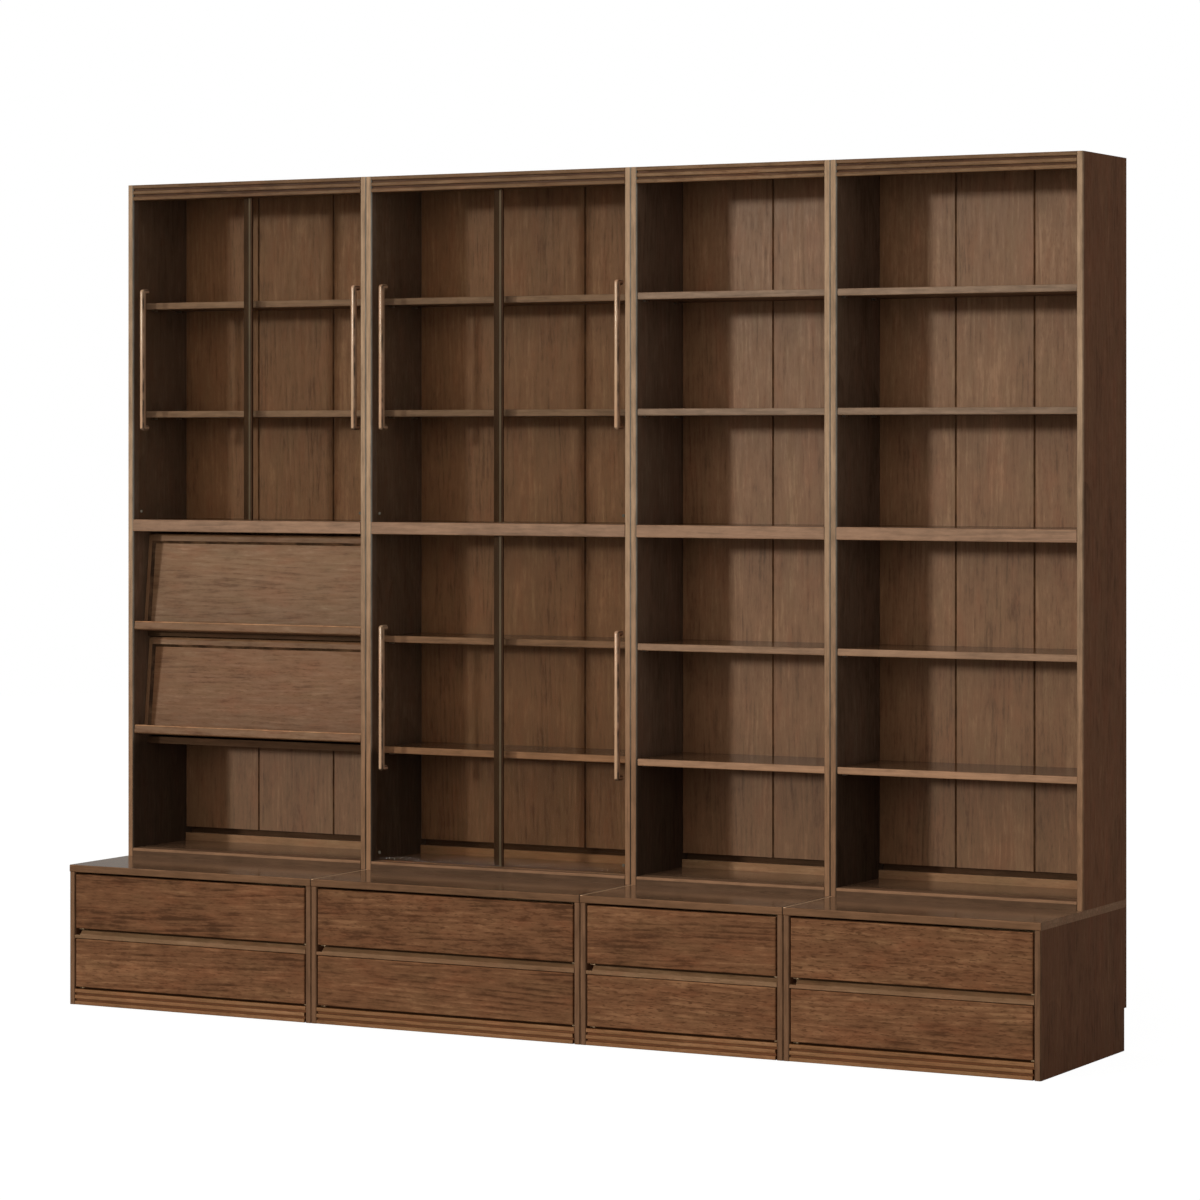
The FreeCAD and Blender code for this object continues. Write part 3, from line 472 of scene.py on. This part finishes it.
# The lipping is painted paler and redder at knee height than at head height, a painted change of light.
LIPPED, LIPPED_LOW = (0.215, 0.136, 0.09), (0.31, 0.168, 0.096)
for name in ("open_shelves", "glazed_shelves"):
    coat(
        walnut(
            f"walnut_{name}", "x", SHELF, CASE_CUTS + TIERS, finish=(0.4, 0.1),
            lipping=(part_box(name)[0].y, 0.006, LIPPED, LIPPED_LOW), polish=(CASE_FRONT, 0.18, 0.5),
        ),
        name,
    )
coat(walnut("walnut_flap_shelf", "x", IN_SHADE, TIERS, finish=(0.6, 0.02)), "flap_shelves")
steel, tree = fresh("plated_steel")
STEEL, STEEL_ROUGH = (0.5, 0.46, 0.4), 0.34
spot = put(tree, "ShaderNodeTexCoord").outputs["Object"]
brushed = cloud(tree, spot, (60.0, 900.0, 900.0), 2.0)
bump = put(tree, "ShaderNodeBump", {"Strength": 0.15, "Distance": 0.0002, "Height": brushed})
plate = put(
    tree, "ShaderNodeBsdfPrincipled",
    {
        "Base Color": tint(tree, spread(tree, brushed, -0.2, 0.2), solid(STEEL, 0.8), solid(STEEL)),
        "Metallic": 1.0,
        "Roughness": spread(tree, brushed, -0.2, 0.2, STEEL_ROUGH - 0.06, STEEL_ROUGH + 0.08),
        "Normal": bump.outputs[0],
    },
)
put(tree, "ShaderNodeOutputMaterial", {"Surface": plate.outputs[0]})
coat(steel, "shelf_supports", "flap_hinge_pins")

# Sliding glass doors: 6 mm bronze float glass with polished edges, two panes to an opening.
# The panes are clear and mirror little. Light passes them as in a window, so the shelves behind are lit.
DOORS = ("one_upper", "two_upper", "two_lower")
HANDS = ("left", "right")
glass, tree = fresh("door_glass")
spot = put(tree, "ShaderNodeTexCoord").outputs["Object"]
smear = spread(tree, cloud(tree, spot, (3.0, 3.0, 9.0)), -0.2, 0.2)
clear = put(
    tree, "ShaderNodeBsdfPrincipled",
    {
        "Base Color": tint(tree, smear, (0.91, 0.85, 0.76, 1.0), (0.95, 0.89, 0.8, 1.0)),
        "Roughness": reckon(tree, "MULTIPLY", smear, 0.01),
        "IOR": 1.08,
        "Transmission Weight": 1.0,
    },
)
path = put(tree, "ShaderNodeLightPath").outputs
through = tint(tree, path["Is Shadow Ray"], (0.97, 0.96, 0.95, 1.0), (0.72, 0.7, 0.67, 1.0))
window = put(tree, "ShaderNodeBsdfTransparent", {"Color": through})
passing = reckon(tree, "MAXIMUM", path["Is Shadow Ray"], path["Is Diffuse Ray"])
pane = put(tree, "ShaderNodeMixShader", {0: passing, 1: clear.outputs[0], 2: window.outputs[0]})
put(tree, "ShaderNodeOutputMaterial", {"Surface": pane.outputs[0]})
coat(glass, *[f"glass_door_{door}_{hand}" for door in DOORS for hand in HANDS])

# Meeting strips: a dark brown plastic channel pressed on behind the free edge of each front pane.
# A bronze nose covers the edge, and a soft fin beyond it keeps out dust.
# They stop short of the grooves above and below.


def moulded(name, colour, rough):
    """Dyed plastic, a little uneven in tone and shine."""
    material, tree = fresh(name)
    spot = put(tree, "ShaderNodeTexCoord").outputs["Object"]
    cast = spread(tree, cloud(tree, spot, (40.0, 40.0, 12.0)), -0.2, 0.2)
    shader = put(
        tree, "ShaderNodeBsdfPrincipled",
        {
            "Base Color": tint(tree, cast, solid(colour, 0.85), solid(colour, 1.15)),
            "Roughness": spread(tree, cast, 0.0, 1.0, rough - 0.05, rough + 0.05),
            "Specular IOR Level": 0.06,
        },
    )
    put(tree, "ShaderNodeOutputMaterial", {"Surface": shader.outputs[0]})
    return material


def eased(mesh, edges, offset, segments):
    """Rounds edges over."""
    bmesh.ops.bevel(
        mesh, geom=edges, offset=offset, offset_type="OFFSET", affect="EDGES", segments=segments, profile=0.5,
        clamp_overlap=True, material=-1,
    )


def finished(mesh, name, material, body):
    """Turns a mesh into a piece that rides on one moving body."""
    bmesh.ops.recalc_face_normals(mesh, faces=mesh.faces[:])
    data = bpy.data.meshes.new(name)
    mesh.to_mesh(data)
    mesh.free()
    for face in data.polygons:
        face.use_smooth = True
    data.set_sharp_from_angle(angle=math.radians(40))
    data.materials.append(material)
    piece = bpy.data.objects.new(name, data)
    bpy.context.scene.collection.objects.link(piece)
    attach(piece, body)
    return piece


strip_brown = moulded("strip_brown", (0.052, 0.027, 0.014), 0.5)
strip_bronze = moulded("strip_bronze", (0.095, 0.067, 0.04), 0.5)
strip_fin = moulded("strip_fin", (0.09, 0.045, 0.025), 0.6)
STRIP_CLEAR, CHANNEL_WIDTH, CHANNEL_DEPTH = 0.008, 0.026, 0.0035
NOSE_START, NOSE_END, NOSE_DEPTH = 0.0065, 0.0005, 0.0008
FIN_WIDTH, FIN_SETBACK = 0.002, 0.001
for door in DOORS:
    low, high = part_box(f"glass_door_{door}_left")
    foot, head = low.z + STRIP_CLEAR, high.z - STRIP_CLEAR
    edge, nose, rear = high.x, low.y - NOSE_DEPTH, high.y + CHANNEL_DEPTH
    for name, material, start, stop, ease in (
        ("meeting_strip", strip_brown, (edge - CHANNEL_WIDTH, high.y), (edge, rear), 0.0006),
        ("strip_nose", strip_bronze, (edge - NOSE_START, nose), (edge - NOSE_END, low.y), 0.0003),
        ("strip_fin", strip_fin, (edge, low.y + FIN_SETBACK), (edge + FIN_WIDTH, rear), 0.0004),
    ):
        first, last = Vector((*start, foot)), Vector((*stop, head))
        mesh = bmesh.new()
        corners = bmesh.ops.create_cube(mesh, size=1.0)["verts"]
        bmesh.ops.scale(mesh, vec=last - first, verts=corners)
        bmesh.ops.translate(mesh, vec=(first + last) / 2, verts=corners)
        eased(mesh, mesh.edges[:], ease, 2)
        finished(mesh, f"{name}_{door}", material, f"door_{door}_left")

# Roller caps: a small dull disc on the lower outer corner of each pane covers the screw of its roller.
# They are turned from plastic, with a rounded rim.
cap_brown = moulded("cap_brown", (0.1, 0.085, 0.065), 0.4)
CAP_RIM = ((0.0, -0.0018), (0.003, -0.0018), (0.0041, -0.001), (0.0043, 0.0))
CAP_HEIGHT, CAP_FROM_LEFT, CAP_FROM_RIGHT = 0.028, 0.01, 0.02
for door in DOORS:
    for hand in HANDS:
        low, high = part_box(f"glass_door_{door}_{hand}")
        x = low.x + CAP_FROM_LEFT if hand == "left" else high.x - CAP_FROM_RIGHT
        z = low.z + CAP_HEIGHT
        mesh = bmesh.new()
        rim = [mesh.verts.new((x + out, low.y + up, z)) for out, up in CAP_RIM]
        edges = [mesh.edges.new(pair) for pair in zip(rim, rim[1:])]
        bmesh.ops.spin(
            mesh, geom=rim + edges, cent=(x, low.y, z), axis=(0.0, 1.0, 0.0), angle=2 * math.pi,
            steps=20, use_merge=True, use_duplicate=False,
        )
        bmesh.ops.remove_doubles(mesh, verts=mesh.verts[:], dist=0.00005)
        finished(mesh, f"roller_cap_{door}_{hand}", cap_brown, f"door_{door}_{hand}")

# Handles: a bow of solid walnut, sawn with a return at each end that is screwed through the glass.
# Its corners are rounded over until the bar is almost round in the hand, and its rounded edges are painted
# darker, most of all on the side facing right, a painted shade.
HANDLE = ((0.33, 0.17, 0.09), (0.52, 0.315, 0.195), (0.63, 0.43, 0.295))
RETURN, BOW_ROUND, BAR_ROUND, NEAR = 0.014, 0.008, 0.0068, 0.001
handle_wood = walnut(
    "walnut_handle", "z", HANDLE, CASE_CUTS, figure=(0.1, 0.6, 0.3), finish=(0.25, 0.5), arris=(1.0, 0.75, 0.14),
)
for door in DOORS:
    for hand in HANDS:
        low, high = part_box(f"handle_{door}_{hand}")
        bar = high.x - low.x
        inside = low.y + bar
        outline = [
            (high.y, high.z), (low.y, high.z), (low.y, low.z), (high.y, low.z),
            (high.y, low.z + RETURN), (inside, low.z + RETURN),
            (inside, high.z - RETURN), (high.y, high.z - RETURN),
        ]
        mesh = bmesh.new()
        face = mesh.faces.new([mesh.verts.new((low.x, y, z)) for y, z in outline])
        grown = bmesh.ops.extrude_face_region(mesh, geom=[face])["geom"]
        far_side = [vert for vert in grown if isinstance(vert, bmesh.types.BMVert)]
        bmesh.ops.translate(mesh, vec=(bar, 0.0, 0.0), verts=far_side)
        bows = [
            edge for edge in mesh.edges
            if abs(edge.verts[0].co.x - edge.verts[1].co.x) > 0.5 * bar and edge.verts[0].co.y < low.y + NEAR
        ]
        eased(mesh, bows, BOW_ROUND, 4)
        longs = [
            edge for edge in mesh.edges
            if abs(edge.verts[0].co.x - edge.verts[1].co.x) < NEAR
            and min(edge.verts[0].co.y, edge.verts[1].co.y) < high.y - NEAR
        ]
        eased(mesh, longs, BAR_ROUND, 5)
        handle = finished(mesh, f"handle_bow_{door}_{hand}", handle_wood, f"door_{door}_{hand}")
        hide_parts(f"handle_{door}_{hand}")

# Display flaps: a bevelled walnut frame round a veneered panel, hung on two steel pins, with a lipped ledge.
# The frame's stiles run upright and its rails across, round one matched panel painted darker downwards, a
# painted sheen that fades lower down.
# The frame's bevels facing right or down are painted dark as shade, and the ledge's top edge carries a painted
# highlight.
FLAP = ((0.128, 0.06, 0.03), (0.222, 0.118, 0.063), (0.315, 0.18, 0.104))
FLAP_REDDER = ((0.118, 0.052, 0.025), (0.203, 0.097, 0.048), (0.288, 0.148, 0.078))
LEDGE = ((0.11, 0.05, 0.025), (0.19, 0.098, 0.051), (0.27, 0.15, 0.083))
FLAP_CUTS = [("z", 0.97, 1.0)]
STILE_LAP = 0.004
for panel, tones in (("flap_upper_panel", FLAP), ("flap_lower_panel", FLAP_REDDER)):
    low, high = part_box(panel)
    sheen_falloff = ((low.z + high.z) / 2, (high.z - low.z) / 2, 0.8)
    coat(
        walnut(
            f"walnut_{panel}", "x", tones, FLAP_CUTS, figure=(0.15, 0.6, 0.25), finish=(0.42, 0.08), foot=sheen_falloff,
        ),
        panel,
    )
low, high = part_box("flap_upper_panel")
between = ((low.x + high.x) / 2, (high.x - low.x) / 2 + STILE_LAP)
coat(
    walnut("walnut_flap_frame", "x", LEDGE, FLAP_CUTS, arris=(1.0, 1.2, 0.22), stiles=between),
    "flap_upper_frame", "flap_lower_frame",
)
coat(
    walnut("walnut_flap_ledge", "x", LEDGE, FLAP_CUTS, arris=(1.0, 2.6, 0.65)),
    "flap_upper_ledge", "flap_lower_ledge",
)
coat(waxed, "flap_stops")

# Studio: a pale floor, a far key lamp low on the left, a broad soft lamp in front and a dim light all round.
# The floor shows white to the camera and keeps a share of its shading for the shadow under the bookcase.


def seen_straight(tree, path):
    """One for what the camera sees, straight or through a pane, and nought for light on the pieces."""
    straight = reckon(tree, "LESS_THAN", path["Glossy Depth"], 0.5)
    return reckon(tree, "MULTIPLY_ADD", path["Is Transmission Ray"], straight, path["Is Camera Ray"])


FLOOR_RADIUS, WHITE_SHARE = 14.0, 0.75
mesh = bmesh.new()
bmesh.ops.create_circle(mesh, cap_ends=True, segments=96, radius=FLOOR_RADIUS)
data = bpy.data.meshes.new("studio_floor")
mesh.to_mesh(data)
mesh.free()
floor = bpy.data.objects.new("studio_floor", data)
bpy.context.scene.collection.objects.link(floor)
pale, tree = fresh("pale_floor")
spot = put(tree, "ShaderNodeTexCoord").outputs["Object"]
uneven = spread(tree, cloud(tree, spot, (1.5, 1.5, 1.5), 2.0), -0.2, 0.2)
matt_grey = tint(tree, uneven, (0.49, 0.49, 0.49, 1.0), (0.51, 0.51, 0.51, 1.0))
matt = put(tree, "ShaderNodeBsdfDiffuse", {"Color": matt_grey})
white = put(tree, "ShaderNodeEmission", {"Color": (1.0, 1.0, 1.0, 1.0), "Strength": 1.28})
path = put(tree, "ShaderNodeLightPath").outputs
seen = reckon(tree, "MULTIPLY", seen_straight(tree, path), WHITE_SHARE)
both = put(tree, "ShaderNodeMixShader", {0: seen, 1: matt.outputs[0], 2: white.outputs[0]})
put(tree, "ShaderNodeOutputMaterial", {"Surface": both.outputs[0]})
data.materials.append(pale)

world = bpy.data.worlds.new("studio")
bpy.context.scene.world = world
world.use_nodes = True
tree = world.node_tree
tree.nodes.clear()
path = put(tree, "ShaderNodeLightPath").outputs
dim = put(tree, "ShaderNodeBackground", {"Color": (1.0, 0.98, 0.95, 1.0), "Strength": 0.38})
glare = put(tree, "ShaderNodeBackground", {"Color": (1.0, 0.96, 0.9, 1.0), "Strength": 0.3})
bright = put(tree, "ShaderNodeBackground", {"Color": (1.0, 1.0, 1.0, 1.0), "Strength": 1.0})
glossy = put(tree, "ShaderNodeMixShader", {0: path["Is Glossy Ray"], 1: dim.outputs[0], 2: glare.outputs[0]})
seen = seen_straight(tree, path)
shown = put(tree, "ShaderNodeMixShader", {0: seen, 1: glossy.outputs[0], 2: bright.outputs[0]})
put(tree, "ShaderNodeOutputWorld", {"Surface": shown.outputs[0]})

# The lamps leave out the panes, which would mirror them, and the soft lamp passes the panes unshaded.
panes = bpy.data.collections.new("panes")
for door in DOORS:
    for hand in HANDS:
        panes.objects.link(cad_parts[f"glass_door_{door}_{hand}"])
for linked in panes.collection_objects:
    linked.light_linking.link_state = "EXCLUDE"
for name, left, up, wide, strength, colour in (
    ("key", 30.0, 8.0, 5.0, 1.38, (1.0, 0.99, 0.88)),
    ("fill", 0.0, 12.0, 50.0, 0.85, (1.0, 0.97, 0.9)),
):
    left, up = math.radians(left), math.radians(up)
    towards = Vector((-math.sin(left), -math.cos(left), math.tan(up)))
    lamp = bpy.data.lights.new(name, "SUN")
    lamp.angle = math.radians(wide)
    lamp.energy = strength
    lamp.color = colour
    sun = bpy.data.objects.new(name, lamp)
    sun.rotation_euler = (-towards).to_track_quat("-Z", "Y").to_euler()
    sun.visible_glossy = name == "key"
    sun.visible_transmission = False
    sun.light_linking.receiver_collection = panes
    if name == "fill":
        sun.light_linking.blocker_collection = panes
    bpy.context.scene.collection.objects.link(sun)

# Camera: level, so that uprights stay upright, from the right of the middle with a long lens.
# It stands about ten metres off at eye height, with the view shifted down.
lens = bpy.data.cameras.new("camera")
lens.sensor_width = 36.0
lens.lens = 121.67
lens.shift_y = -0.1304
lens.clip_end = 100.0
camera = bpy.data.objects.new("camera", lens)
camera.location = (4.980, -9.1457, 1.4959)
camera.rotation_euler = (math.pi / 2, 0.0, 0.493)
bpy.context.scene.collection.objects.link(camera)
bpy.context.scene.camera = camera
bpy.context.scene.view_settings.view_transform = "Standard"
